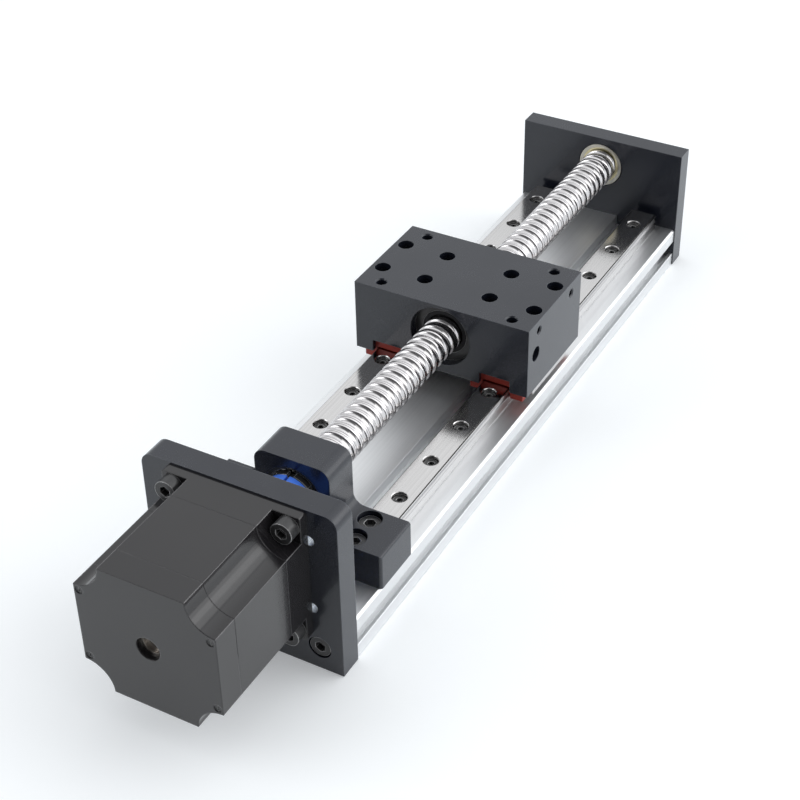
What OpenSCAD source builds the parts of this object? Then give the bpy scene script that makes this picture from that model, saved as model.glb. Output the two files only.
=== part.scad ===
// Ball screw linear module. A carriage rides on two 12 mm profile rails and is driven
// by a 16 mm ball screw of 5 mm lead, turned through a jaw coupling by a 57 mm stepper.
// X runs along the travel from the motor end to the tail plate, Y to the left, Z up.
// The origin is on the floor at mid width, where the base extrusion meets the motor plate.

/* [Base extrusion] */
// Length of the base extrusion
base_l = 300; // [260:5:420]
// Width of the base extrusion
base_w = 79; // [77:0.5:84]
// Height of the base extrusion
base_h = 19; // [18:0.5:22]
// Chamfer along the two upper edges
base_edge = 0.8; // [0.4:0.1:1.4]
// Mouth of the T-slots in the sides and the floor face
slot_mouth = 6.6; // [5.4:0.1:7]
// Lip left over the T-slot head
slot_lip = 1.8; // [1.4:0.1:2.2]
// Width of the T-slot head
slot_head = 11; // [9:0.5:12]
// Depth of a T-slot from its mouth
slot_depth = 5.2; // [4.6:0.1:5.6]
// Height of the side T-slots' centre line
slot_z = 9.4; // [8.6:0.1:9.8]
// Distance of the relief grooves and floor slots from mid width
groove_y = 13.35; // [13:0.05:13.8]
// Width of the relief groove beside each rail seat
groove_w = 6.3; // [5:0.1:7]
// Depth of the relief groove
groove_depth = 4.5; // [3:0.5:6]
// Width of the closed chamber along the middle
core_w = 12; // [8:0.5:12.5]
// Height of that chamber
core_h = 8; // [5:0.5:8.5]

/* [Rails] */
// Distance between the two rail centre lines
rail_gauge = 50; // [49.5:0.1:50.5]
// Width of a rail
rail_w = 12; // [11.6:0.1:12.2]
// Height of a rail
rail_h = 8; // [7.6:0.1:8.4]
// Space between the support block and the rails
rail_head_gap = 5.5; // [2:0.5:10]
// Space between the rails and the tail plate
rail_tail_gap = 3.5; // [2:0.5:10]
// Distance from one rail screw to the next
rail_pitch = 25; // [20:1:30]
// Screw thread of the rail and slider screws
m_small = 3; // [3:0.1:3.2]
// Counterbore of a rail screw hole
rail_cb_d = 6; // [5.8:0.1:6.6]
// Depth of that counterbore
rail_cb_depth = 4.5; // [4:0.1:5]
// Radius of the ball race along a rail's side
race_r = 1.4; // [1.1:0.1:1.6]

/* [Slider blocks] */
// Length of a slider block over its end caps
slider_l = 45.4; // [43:0.2:46]
// Width of a slider block
slider_w = 27; // [26:0.2:27.4]
// Height from the rail's foot to the slider's top
slider_h = 13; // [12.6:0.1:13.6]
// Space between the base and the slider
slider_lift = 3; // [2.6:0.1:3.4]
// Length of one plastic end cap
cap_l = 6.5; // [5:0.5:7]
// How far an end cap lies inside the block's sides
cap_inset = 1.5; // [0.3:0.1:2]
// Screw pattern of a slider block, along and across
slider_pitch = 20; // [19:0.1:20.4]

/* [Carriage] */
// Place of the carriage's middle along the travel
car_x = 163; // [110:1:200]
// Length of the carriage
car_l = 50; // [49:0.5:60]
// How far the carriage, plates and support block stand out past the base on each side
side_margin = 0.5; // [0.3:0.1:1.5]
// Height of the carriage above the slider blocks
car_h = 27; // [26.5:0.5:32]
// How far the carriage's walls reach down over the slider blocks
car_skirt = 5.5; // [3:0.5:6]
// Payload screw spacing along the travel
payload_px = 40; // [36:0.5:41]
// Payload screw spacing across the travel
payload_py = 60; // [56:0.5:62]
// Core diameter of the payload threads
payload_d = 4.3; // [3.4:0.1:5]
// Depth of the payload threads
payload_depth = 11; // [8:0.5:11]
// Counterbore over a slider screw
car_cb_d = 6.8; // [6.2:0.1:7]
// Depth of that counterbore
car_cb_depth = 9; // [6:0.5:9.5]
// Spacing of the two sensor screw holes in each side
flag_pitch = 30.6; // [20:0.2:40]
// Core diameter of the sensor screw holes
flag_d = 3.3; // [2.5:0.1:3.4]
// Depth of the sensor screw holes
flag_depth = 7; // [5:0.5:10]
// Distance of the sensor screw holes under the top face
flag_drop = 5; // [4:0.5:8]
// Thread of the screws that hold the nut from each side
nut_grip_d = 6; // [5:0.5:6]
// Widened mouth of the holes of those screws
nut_grip_cb_d = 6.6; // [6.6:0.1:7.4]
// Depth of that mouth
nut_grip_cb_depth = 8; // [4:0.5:10]

/* [Ball screw] */
// Height of the screw's axis over the floor
axis_h = 44; // [43.5:0.5:46]
// Diameter over the lands
screw_d = 16; // [15.6:0.1:16.2]
// Travel for each turn
lead = 5; // [4:1:10]
// Diameter of the balls that run in the raceway
ball_d = 3.175; // [2.5:0.005:3.5]
// Journal in the coupling
journal_d = 10; // [9:0.5:10.5]

/* [Ball nut] */
// Diameter of the nut's barrel
nut_d = 25; // [24:0.2:25.2]
// Length of the nut over all
nut_l = 40; // [34:1:43]
// Diameter of the nut's collar
collar_d = 27.3; // [26:0.1:27.6]
// Length of the nut's collar
collar_l = 6.5; // [6:0.5:7]
// How deep the nut's face lies in the carriage
nut_recess = 4; // [2:0.5:4.5]

/* [Support block] */
// Length of the support block's feet along the travel
foot_l = 22; // [21:0.5:26]
// Rear face of the support block
sup_x = 40; // [38:0.5:44]
// Length of its bearing housing
house_l = 16; // [15.5:0.5:18]
// Width of the bearing housing
house_w = 32; // [31:0.5:34]
// Height of the housing over the screw's axis
house_rise = 16; // [15:0.5:20]
// Corner radius of the housing
house_r = 5; // [3:0.5:6]
// Height of the feet
foot_h = 15.6; // [14:0.2:18]
// Depth of the screw counterbores in the feet
foot_cb_depth = 7; // [5.5:0.5:7.5]
// Rounding along the feet's outer edges
foot_edge = 1.2; // [0.6:0.2:2]
// Radius where the housing runs into the feet
foot_fillet = 5; // [3:0.5:6]
// Width of the open space between the feet
foot_gap = 36; // [34:0.5:38]
// Distance of the feet's screws from mid width
foot_bolt_y = 26; // [25:0.5:28]
// Spacing of the two screws in a foot
foot_bolt_pitch = 11.2; // [10.4:0.2:12]
// Thread of the screws through plates and feet
m_large = 5; // [5:0.1:5.2]

/* [Bearings] */
// Outer diameter of the screw's bearings
brg_od = 24; // [24:0.1:24.6]
// Inner diameter of the screw's bearings
brg_id = 12; // [11.8:0.1:12.2]
// Width of a screw bearing
brg_w = 6; // [5.6:0.1:6]
// Outer diameter of the tail bearing
tbrg_od = 21; // [20.6:0.1:22]
// Width of the tail bearing
tbrg_w = 5; // [4.6:0.1:6]
// Outer diameter of the motor's bearings
mbrg_od = 22; // [21:0.5:23]
// Width of a motor bearing
mbrg_w = 7; // [6:0.5:7]

/* [End plates] */
// Thickness of the motor plate
mplate_t = 10; // [9:0.5:12]
// Height of the motor plate
mplate_h = 73; // [73:0.5:80]
// Radius of the motor plate's upper corners
mplate_r = 5; // [3:0.5:8]
// Thickness of the tail plate
tplate_t = 9; // [8:0.5:12]
// Height of the tail plate
tplate_h = 58; // [57:0.5:64]
// Distance of the plate screws from mid width
plate_bolt_y = 30.3; // [30:0.1:30.6]
// Height of the plate screws
plate_bolt_z = 10; // [9.6:0.1:10.4]
// Distance of the motor plate's spare holes from mid width
spare_y = 28.4; // [28:0.1:32]
// Spacing of the spare holes up the plate
spare_pitch = 31; // [20:1:34]
// Diameter of the spare holes
spare_d = 4.3; // [3:0.1:5]

/* [Motor] */
// Width across the motor's flats
motor_w = 56.4; // [56:0.1:57.2]
// Length of the motor from flange face to rear face
motor_l = 56; // [50:1:80]
// Screw spacing of the flange
motor_pitch = 47.14; // [47:0.02:47.3]
// Diameter of the pilot boss
pilot_d = 38.1; // [37:0.1:39]
// Height of the pilot boss
pilot_h = 1.6; // [1.2:0.1:2]
// Thickness of the flange
flange_t = 4.2; // [4:0.2:6]
// Length of the front end cap with its flange
front_cap_l = 14; // [12:0.5:16]
// Length of the rear end cap
rear_cap_l = 11; // [10:0.5:14]
// Radius of the round groove down each corner
corner_r = 11; // [10.8:0.1:12]
// Motor shaft diameter
shaft_d = 8; // [6.4:0.1:8.2]
// How far the shaft's rear end lies inside the rear face
shaft_set_in = 4; // [3:0.5:6]
// Length of the shaft outside the flange
shaft_out = 21; // [20:0.2:21.4]
// Hole in the rear face that shows the shaft's end
rear_hole_d = 9.6; // [8.6:0.1:11]
// Diameter of the rotor
rotor_d = 28; // [24:0.5:30]

/* [Coupling] */
// Diameter of the coupling
coup_d = 20; // [20:0.5:22]
// Length of the coupling
coup_l = 29.6; // [28.6:0.2:29.8]
// Length of the solid part of each hub
hub_l = 10.5; // [9.5:0.5:11]
// Thread of the coupling's clamp screws
m_clamp = 2.5; // [2.5:0.1:3]

/* [Clearances] */
// Radial clearance of parts that are fixed together
fit = 0.05; // [0.02:0.01:0.08]
// Running gap between parts that move past each other
run = 0.3; // [0.25:0.05:0.4]

/* [Hidden] */
$fn = 64;
eps = 0.01;
black = [0.16, 0.16, 0.17];
motor_grey = [0.30, 0.29, 0.28];
steel = [0.80, 0.79, 0.78];
bright = [0.88, 0.88, 0.88];
oxide = [0.10, 0.10, 0.11];

stage_w = base_w + 2 * side_margin;
rail_y = rail_gauge / 2;
rail_x0 = sup_x + rail_head_gap;
rail_l = base_l - rail_tail_gap - rail_x0;
rail_end_min = rail_cb_d;
rail_n = floor((rail_l - 2 * rail_end_min) / rail_pitch) + 1;
rail_end = (rail_l - (rail_n - 1) * rail_pitch) / 2;
rail_top = base_h + rail_h;
race_z = 5.6;
race_y = rail_w / 2 + race_r / 2;
slider_top = base_h + slider_h;
body_l = slider_l - 2 * cap_l;
car_top = slider_top + car_h;
car_floor = slider_top - car_skirt;
notch_w = rail_w + 2;
small_tap = m_small / 2 + fit;
large_tap = m_large / 2 + fit;
rail_tap_depth = 9;
foot_x = sup_x - foot_l;
house_x = sup_x - house_l;
foot_top = base_h + foot_h;
house_top = axis_h + house_rise;
large_cb_d = head_d(m_large) + 1;
large_cb_depth = m_large + 0.5;
foot_tap_depth = 10;
plate_tap_depth = 14;
ring_t = 1.1;
house_lip = 2.5;
brg_x1 = sup_x - house_lip;
brg_x0 = brg_x1 - 2 * brg_w;
lip_bore = brg_od - 4;
tbrg_x0 = base_l;
trace_wall = 1.5;
tbrg_inner_d = brg_id + 2 * trace_wall - 0.6;
tbrg_edge = 0.5;
shield_t = 0.5;
race_wall = 1.9;
nut_face = car_x - car_l / 2 + nut_recess;
thread_x0 = sup_x + 0.9;
thread_x1 = base_l - 0.6;
wind_steps = 16;
raceway_w = ball_d * 0.92;
raceway_h = ball_d * 0.33;
pitch_outline = [
    [raceway_w / 2, 0], [lead - raceway_w / 2, 0],
    [lead - raceway_w / 5, raceway_h], [lead + raceway_w / 5, raceway_h]
];
coup_x1 = -mplate_t + pilot_h + 0.9 + coup_l;
coup_x0 = coup_x1 - coup_l;
jaw_l = coup_l - 2 * hub_l;
jaw_w = coup_d * 0.34;
jaw_r0 = (jaw_w / 2 + fit) * sqrt(2) + 0.8;
shaft_tip = -mplate_t + shaft_out;
journal_x0 = max(shaft_tip, coup_x1 - hub_l - run) + 0.2;
locknut_l = 2.6;
locknut_d = 19;
motor_x0 = -mplate_t - motor_l;
stack_x0 = motor_x0 + rear_cap_l;
stack_x1 = -mplate_t - front_cap_l;
rear_wall = 2.4;
mbrg_rear_x = motor_x0 + rear_wall + 0.4;
mbrg_front_x = stack_x1;
case_screw_y = motor_w / 2 - 2.1;
case_screw_z = motor_w / 2 - corner_r - 2.2;
mbrg_id = shaft_d;
clamp_z = axis_h + coup_d * 0.34;
clamp_seat = 4;

function head_d(d) = 1.5 * d + 1;
function hex_across(d) = 0.8 * d;
function rail_hole_x(i) = rail_x0 + rail_end + i * rail_pitch;

// Extrudes a Y-Z outline along X from x0
module along_x(x0, len) { translate([x0, 0, 0]) rotate([90, 0, 90]) linear_extrude(len) children(); }

// Cylinder along X from x0
module rod(x0, len, d, y = 0, z = axis_h) {
    translate([x0, y, z]) rotate([0, 90, 0]) cylinder(h = len, d = d);
}

// Pipe along X from x0
module pipe(x0, len, od, id) { difference() { rod(x0, len, od); rod(x0 - 1, len + 2, id); } }

// Flat rectangle with round corners
module round_rect(w, h, r) {
    union() {
        square([w - 2 * r, h], center = true);
        square([w, h - 2 * r], center = true);
        for (sx = [-1, 1], sy = [-1, 1]) translate([sx * (w / 2 - r), sy * (h / 2 - r)]) circle(r);
    }
}

// Rectangle whose two upper corners are round; z0 is its lower edge
module arch_rect(w, z0, z1, r) {
    translate([-w / 2, z0]) square([w, z1 - z0 - r]);
    translate([-w / 2 + r, z0]) square([w - 2 * r, z1 - z0]);
    for (s = [-1, 1]) translate([s * (w / 2 - r), z1 - r]) circle(r);
}

// Socket head cap screw: the seat under the head is at z = 0 and the shank points down
module cap_screw(d, len) {
    difference() {
        union() {
            cylinder(h = d, d = head_d(d));
            translate([0, 0, -len]) cylinder(h = len + eps, d = d);
        }
        translate([0, 0, d * 0.45]) cylinder(h = d, d = hex_across(d) / cos(30), $fn = 6);
    }
}

// T-slot outline with its mouth on the line y = 0, cut towards -y
module t_slot() {
    translate([-slot_mouth / 2, -slot_depth]) square([slot_mouth, slot_depth + 1]);
    translate([-slot_head / 2, -slot_depth]) square([slot_head, slot_depth - slot_lip]);
}

// Ring with a ball groove: outer or inner race of a deep groove bearing along X
module race(x0, w, od, id, pitch_d, ball) {
    translate([x0, 0, axis_h]) rotate([0, 90, 0]) rotate_extrude() difference() {
        translate([id / 2, 0]) square([(od - id) / 2, w]);
        translate([pitch_d / 2, w / 2]) circle(d = ball + 2 * fit);
    }
}

module race_balls(x0, w, pitch_d, ball, n) {
    for (i = [0:n - 1]) translate([x0 + w / 2, 0, axis_h]) rotate([i * 360 / n, 0, 0])
        translate([0, 0, pitch_d / 2]) sphere(d = ball);
}

function brg_pitch() = (brg_od + brg_id) / 2;
function brg_ball() = 3;
function tbrg_pitch() = (tbrg_od + brg_id) / 2;
function tbrg_ball() = 2.6;
function mbrg_pitch() = (mbrg_od + mbrg_id) / 2;
function mbrg_ball() = 3.6;

module base_extrusion() {
    color([0.90, 0.91, 0.91]) difference() {
        along_x(0, base_l) difference() {
            polygon([[-base_w / 2, 0], [base_w / 2, 0], [base_w / 2, base_h - base_edge],
                [base_w / 2 - base_edge, base_h], [-base_w / 2 + base_edge, base_h],
                [-base_w / 2, base_h - base_edge]]);
            translate([base_w / 2, slot_z]) rotate(-90) t_slot();
            translate([-base_w / 2, slot_z]) rotate(90) t_slot();
            for (s = [-1, 1]) {
                translate([s * groove_y, 0]) rotate(180) t_slot();
                translate([s * groove_y - groove_w / 2, base_h - groove_depth])
                    square([groove_w, groove_depth + 1]);
            }
            translate([0, base_h / 2]) round_rect(core_w, core_h, 1);
        }
        for (s = [-1, 1]) {
            for (i = [0:rail_n - 1]) translate([rail_hole_x(i), s * rail_y, base_h - rail_tap_depth])
                cylinder(h = rail_tap_depth + 1, r = small_tap);
            for (k = [-1, 1]) translate([foot_mid(k), s * foot_bolt_y, base_h - foot_tap_depth])
                cylinder(h = foot_tap_depth + 1, r = large_tap);
            for (x = [-1, base_l - plate_tap_depth + 1])
                rod(x, plate_tap_depth, 2 * large_tap, s * plate_bolt_y, plate_bolt_z);
        }
    }
}

function foot_mid(k) = (foot_x + sup_x) / 2 + k * foot_bolt_pitch / 2;

// One profile rail with its ball races and counterbored holes
module rail(y) {
    color(steel) difference() {
        along_x(rail_x0, rail_l) difference() {
            translate([y, base_h])
                polygon([[-rail_w / 2 + 0.5, 0], [rail_w / 2 - 0.5, 0], [rail_w / 2, 0.5],
                [rail_w / 2, rail_h - 0.4], [rail_w / 2 - 0.4, rail_h], [-rail_w / 2 + 0.4, rail_h],
                [-rail_w / 2, rail_h - 0.4], [-rail_w / 2, 0.5]]);
            for (s = [-1, 1]) translate([y + s * race_y, base_h + race_z]) circle(race_r);
        }
        for (i = [0:rail_n - 1]) translate([rail_hole_x(i), y, base_h]) {
            translate([0, 0, -1]) cylinder(h = rail_h + 2, d = m_small + 0.5);
            translate([0, 0, rail_h - rail_cb_depth]) cylinder(h = rail_h, d = rail_cb_d);
            translate([0, 0, rail_h - 0.3]) cylinder(h = 0.31, d1 = rail_cb_d, d2 = rail_cb_d + 0.6);
        }
        for (x = [rail_x0, rail_x0 + rail_l]) translate([x, y, rail_top]) rotate([0, 45, 0])
            cube([0.8, rail_w + 2, 0.8], center = true);
    }
}

module rail_left() { rail(rail_y); }

module rail_right() { rail(-rail_y); }

module rail_screws() {
    color(oxide) for (s = [-1, 1], i = [0:rail_n - 1])
        translate([rail_hole_x(i), s * rail_y, rail_top - rail_cb_depth])
            cap_screw(m_small, rail_tap_depth + rail_h - rail_cb_depth - 1);
}

function plate_bolt_ys() = [-plate_bolt_y, plate_bolt_y];

module motor_plate() {
    color(black) difference() {
        along_x(-mplate_t, mplate_t) difference() {
            arch_rect(stage_w, 0, mplate_h, mplate_r);
            translate([0, axis_h]) circle(d = pilot_d + 2 * fit);
            for (s = [-1, 1], t = [-1, 1]) {
                translate([s * motor_pitch / 2, axis_h + t * motor_pitch / 2]) circle(r = large_tap);
                translate([s * spare_y, axis_h + t * spare_pitch / 2]) circle(d = spare_d);
            }
            for (y = plate_bolt_ys()) translate([y, plate_bolt_z]) circle(d = m_large + 0.5);
        }
        for (y = plate_bolt_ys()) rod(-mplate_t - 1, large_cb_depth + 1, large_cb_d, y, plate_bolt_z);
    }
}

module motor_plate_screws() {
    color(oxide) for (y = plate_bolt_ys()) translate([-mplate_t + large_cb_depth, y, plate_bolt_z])
        rotate([0, -90, 0]) cap_screw(m_large, mplate_t - large_cb_depth + plate_tap_depth - 3);
}

// Bearing housing that grows out of two screwed-down feet
module support_block() {
    color(black) difference() {
        union() {
            along_x(house_x, house_l) difference() {
                union() {
                    arch_rect(house_w, base_h, house_top, house_r);
                    arch_rect(stage_w, base_h, foot_top, foot_edge);
                    translate([-house_w / 2 - foot_fillet, foot_top - eps])
                        square([house_w + 2 * foot_fillet, foot_fillet + eps]);
                }
                for (s = [-1, 1]) translate([s * (house_w / 2 + foot_fillet), foot_top + foot_fillet])
                    circle(foot_fillet);
            }
            for (s = [-1, 1]) intersection() {
                along_x(foot_x, foot_l) arch_rect(stage_w, base_h, foot_top, foot_edge);
                translate([foot_x + foot_l / 2, s * (stage_w + foot_gap) / 4, base_h])
                    linear_extrude(foot_h + 1) round_rect(foot_l, (stage_w - foot_gap) / 2, foot_edge);
            }
        }
        rod(house_x - 1, brg_x1 - house_x + 1, brg_od + 2 * fit);
        rod(house_x, house_l + 1, lip_bore);
        rod(brg_x0 - ring_t - fit, ring_t + 2 * fit, brg_od + 1.2);
        for (s = [-1, 1], k = [-1, 1]) translate([foot_mid(k), s * foot_bolt_y, base_h]) {
            translate([0, 0, -1]) cylinder(h = foot_h + 2, d = m_large + 0.5);
            translate([0, 0, foot_h - foot_cb_depth]) cylinder(h = foot_h, d = large_cb_d);
        }
    }
}

module support_screws() {
    color(oxide) for (s = [-1, 1], k = [-1, 1])
        translate([foot_mid(k), s * foot_bolt_y, foot_top - foot_cb_depth])
        cap_screw(m_large, foot_h - foot_cb_depth + foot_tap_depth - 1);
}

module support_bearing_outers() {
    color(steel) for (i = [0, 1])
        race(brg_x0 + i * brg_w, brg_w, brg_od, brg_od - 2 * race_wall, brg_pitch(), brg_ball());
}

module support_bearing_inners() {
    color(bright) for (i = [0, 1])
        race(brg_x0 + i * brg_w, brg_w, brg_id + 2 * race_wall, brg_id, brg_pitch(), brg_ball());
}

module support_bearing_balls() {
    color(bright) for (i = [0, 1]) race_balls(brg_x0 + i * brg_w, brg_w, brg_pitch(), brg_ball(), 12);
}

// Spring ring in the housing's groove, open between its two lugs
module support_snap_ring() {
    color(oxide) translate([brg_x0 - ring_t, 0, axis_h]) rotate([0, 90, 0]) linear_extrude(ring_t)
        difference() {
        circle(d = brg_od + 1.2 - 2 * fit);
        circle(d = brg_od - 2.4);
        translate([-brg_od, -2]) square([brg_od, 4]);
    }
}

module tail_plate() {
    color(black) difference() {
        along_x(base_l, tplate_t) difference() {
            translate([-stage_w / 2, 0]) square([stage_w, tplate_h]);
            translate([0, axis_h]) circle(d = tbrg_od - 3);
            for (y = plate_bolt_ys()) translate([y, plate_bolt_z]) circle(d = m_large + 0.5);
        }
        rod(base_l - 1, tbrg_x0 - base_l + tbrg_w + 1, tbrg_od + 2 * fit);
        translate([base_l, 0, axis_h]) rotate([0, 90, 0])
            cylinder(h = tbrg_edge, d1 = tbrg_od + 2 * (fit + tbrg_edge), d2 = tbrg_od + 2 * fit);
        for (y = plate_bolt_ys())
            rod(base_l + tplate_t - large_cb_depth, large_cb_depth + 1, large_cb_d, y, plate_bolt_z);
    }
}

module tail_plate_screws() {
    color(oxide) for (y = plate_bolt_ys()) translate([base_l + tplate_t - large_cb_depth, y, plate_bolt_z])
        rotate([0, 90, 0]) cap_screw(m_large, tplate_t - large_cb_depth + plate_tap_depth - 3);
}

module tail_bearing_outer() {
    color(steel) race(tbrg_x0, tbrg_w, tbrg_od, tbrg_od - 2 * trace_wall, tbrg_pitch(), tbrg_ball());
}

module tail_bearing_inner() {
    color(bright) race(tbrg_x0, tbrg_w, tbrg_inner_d, brg_id, tbrg_pitch(), tbrg_ball());
}

module tail_bearing_balls() { color(bright) race_balls(tbrg_x0, tbrg_w, tbrg_pitch(), tbrg_ball(), 12); }

// Dust shield pressed into the front of the tail bearing
module tail_bearing_shield() {
    color([0.80, 0.72, 0.42])
        pipe(tbrg_x0 + 0.2, shield_t, tbrg_od - 2 * trace_wall - 2 * fit, tbrg_inner_d + 2 * run);
}

// Motor outline: a square whose corners are cut by round grooves
module motor_outline() {
    difference() {
        square(motor_w, center = true);
        for (s = [-1, 1], t = [-1, 1]) translate([s * motor_w / 2, t * motor_w / 2]) circle(corner_r);
    }
}

module motor_front_cap() {
    color(motor_grey) difference() {
        union() {
            along_x(stack_x1, front_cap_l - flange_t + eps) translate([0, axis_h]) motor_outline();
            along_x(-mplate_t - flange_t, flange_t) translate([0, axis_h]) difference() {
                round_rect(motor_w, motor_w, 1.2);
                for (s = [-1, 1], t = [-1, 1]) translate([s * motor_pitch / 2, t * motor_pitch / 2])
                    circle(d = m_large + 0.4);
            }
            rod(-mplate_t - eps, pilot_h + eps, pilot_d);
        }
        rod(stack_x1 - 1, mbrg_w + 1, mbrg_od + 2 * fit);
        rod(stack_x1, front_cap_l + pilot_h + 1, shaft_d + 3);
        for (s = [-1, 1], t = [-1, 1])
            rod(stack_x1 - 1, 5, 2.5 + 2 * fit, s * case_screw_y, axis_h + t * case_screw_z);
    }
}

module motor_stator() {
    color([0.34, 0.33, 0.32]) along_x(stack_x0, stack_x1 - stack_x0) translate([0, axis_h]) difference() {
        motor_outline();
        circle(d = rotor_d + 2 * run);
        for (s = [-1, 1], t = [-1, 1]) translate([s * case_screw_y, t * case_screw_z])
            circle(d = 2.5 + 2 * fit);
    }
}

module motor_rear_cap() {
    color(motor_grey) difference() {
        along_x(motor_x0, rear_cap_l) translate([0, axis_h]) difference() {
            motor_outline();
            circle(d = rear_hole_d);
            for (s = [-1, 1], t = [-1, 1]) translate([s * case_screw_y, t * case_screw_z])
                circle(d = 2.5 + 2 * fit);
        }
        rod(mbrg_rear_x, rear_cap_l, mbrg_od + 2 * fit);
        for (s = [-1, 1], t = [-1, 1])
            rod(motor_x0 - 1, 2.2, 3.2, s * case_screw_y, axis_h + t * case_screw_z);
        translate([motor_x0 + rear_cap_l / 2, 0, axis_h - motor_w / 2 - 1])
            cylinder(h = 4, d = 7 + 2 * fit);
    }
}

// Long screws that clamp the two end caps over the stator
module motor_case_screws() {
    color(oxide) for (s = [-1, 1], t = [-1, 1]) difference() {
        union() {
            rod(motor_x0 + 0.3, 0.9, 3.1, s * case_screw_y, axis_h + t * case_screw_z);
            rod(motor_x0 + 1.2 - eps, motor_l - front_cap_l + 2, 2.5, s * case_screw_y, axis_h + t * case_screw_z);
        }
        translate([motor_x0, s * case_screw_y, axis_h + t * case_screw_z])
            cube([1.2, 0.5, 2], center = true);
    }
}

module motor_mount_screws() {
    color(oxide) for (s = [-1, 1], t = [-1, 1])
        translate([-mplate_t - flange_t, s * motor_pitch / 2, axis_h + t * motor_pitch / 2])
            rotate([0, -90, 0]) cap_screw(m_large, flange_t + mplate_t - 1);
}

module motor_bearing_outers() {
    color(steel) for (x = [mbrg_rear_x, mbrg_front_x])
        race(x, mbrg_w, mbrg_od, mbrg_od - 4.4, mbrg_pitch(), mbrg_ball());
}

module motor_bearing_inners() {
    color(bright) for (x = [mbrg_rear_x, mbrg_front_x])
        race(x, mbrg_w, mbrg_id + 4, mbrg_id, mbrg_pitch(), mbrg_ball());
}

module motor_bearing_balls() {
    color(bright) for (x = [mbrg_rear_x, mbrg_front_x]) race_balls(x, mbrg_w, mbrg_pitch(), mbrg_ball(), 9);
}

// Rubber bush of the lead outlet under the rear end cap
module lead_grommet() {
    color([0.08, 0.08, 0.08]) translate([motor_x0 + rear_cap_l / 2, 0, axis_h - motor_w / 2]) difference() {
        union() {
            cylinder(h = 2.6, d = 7);
            translate([0, 0, -1.4]) cylinder(h = 1.4, d = 8.6);
        }
        translate([0, 0, -2]) cylinder(h = 5, d = 4.4);
    }
}

module motor_shaft() {
    color(bright) difference() {
        rod(motor_x0 + shaft_set_in, shaft_tip - motor_x0 - shaft_set_in, shaft_d - 2 * fit);
        translate([-mplate_t + 5, -shaft_d, axis_h + shaft_d / 2 - 0.5]) cube([shaft_out, 2 * shaft_d, 2]);
    }
}

// Two toothed rotor stacks and the magnet between them
module motor_rotor() {
    rotor_x0 = stack_x0 + 0.6;
    rotor_l = stack_x1 - rotor_x0 - 0.6;
    color([0.45, 0.45, 0.46]) difference() {
        union() {
            rod(rotor_x0, rotor_l * 0.44, rotor_d);
            rod(rotor_x0, rotor_l, rotor_d - 2);
            rod(rotor_x0 + rotor_l * 0.56, rotor_l * 0.44, rotor_d);
        }
        rod(rotor_x0 - 1, rotor_l + 2, shaft_d);
    }
}

// Ball screw: journals, shoulder and the threaded length
// Bar on the X axis with the ball raceway wound about it as a right-hand thread: one column
// of points for each step of a turn, and each column joined to the next one pitch on
module wound_bar(x0, x1, r) {
    n = len(pitch_outline);
    turns = ceil((x1 - x0) / lead) + 3;
    rows = turns * n + 1;
    hub = wind_steps * rows;
    function at(a, k) = a < wind_steps ? a * rows + k : k + n;
    points = concat(
        [for (a = [0:wind_steps - 1]) for (k = [0:rows - 1]) let (p = pitch_outline[k % n], t = a / wind_steps)
            [x0 + lead * (floor(k / n) + t - 2) + p[0], (r - p[1]) * cos(360 * t), (r - p[1]) * sin(360 * t)]],
        [[x0 - 2 * lead, 0, 0], [x0 + lead * (turns - 1), 0, 0]]);
    sides = [for (a = [0:wind_steps - 1]) for (k = [0:rows - 2 - (a < wind_steps - 1 ? 0 : n)])
        [at(a, k), at(a, k + 1), at(a + 1, k + 1), at(a + 1, k)]];
    ends = concat(
        [for (a = [0:wind_steps - 1]) [at(a, 0), at(a + 1, 0), hub]],
        [for (k = [0:n - 1]) [k + 1, k, hub]],
        [for (a = [0:wind_steps - 1]) let (e = a < wind_steps - 1 ? rows - 1 : rows - 1 - n)
            [at(a + 1, e), at(a, e), hub + 1]],
        [for (k = [0:n - 1]) let (e = hub - 1 - n + k) [e, e + 1, hub + 1]]);
    polyhedron(points, concat([for (q = sides) [q[0], q[1], q[2]]], [for (q = sides) [q[0], q[2], q[3]]], ends));
}

module ball_screw() {
    color(bright) union() {
        rod(journal_x0, brg_x0 - locknut_l - journal_x0 + eps, journal_d - 2 * fit);
        rod(brg_x0 - locknut_l, thread_x0 - brg_x0 + locknut_l + eps, brg_id - 2 * fit);
        intersection() {
            translate([0, 0, axis_h]) wound_bar(thread_x0, thread_x1, screw_d / 2);
            rod(thread_x0, thread_x1 - thread_x0, screw_d + 1);
        }
        rod(thread_x1 - eps, base_l + tplate_t - 0.6 - thread_x1, brg_id - 2 * fit);
    }
}

module bearing_spacer() { color(steel) pipe(brg_x1, thread_x0 - brg_x1, brg_id + 4, brg_id); }

module lock_nut() {
    color(oxide) difference() {
        pipe(brg_x0 - locknut_l, locknut_l, locknut_d, brg_id);
        for (a = [0:60:300]) translate([brg_x0 - locknut_l / 2, 0, axis_h]) rotate([a, 0, 0])
            translate([0, 0, locknut_d / 2]) cube([locknut_l + 1, 3, 2.4], center = true);
    }
}

// Snap ring behind the tail bearing
module tail_retaining_ring() {
    color(oxide) pipe(tbrg_x0 + tbrg_w, 0.9, brg_id + 4, brg_id);
}

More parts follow.
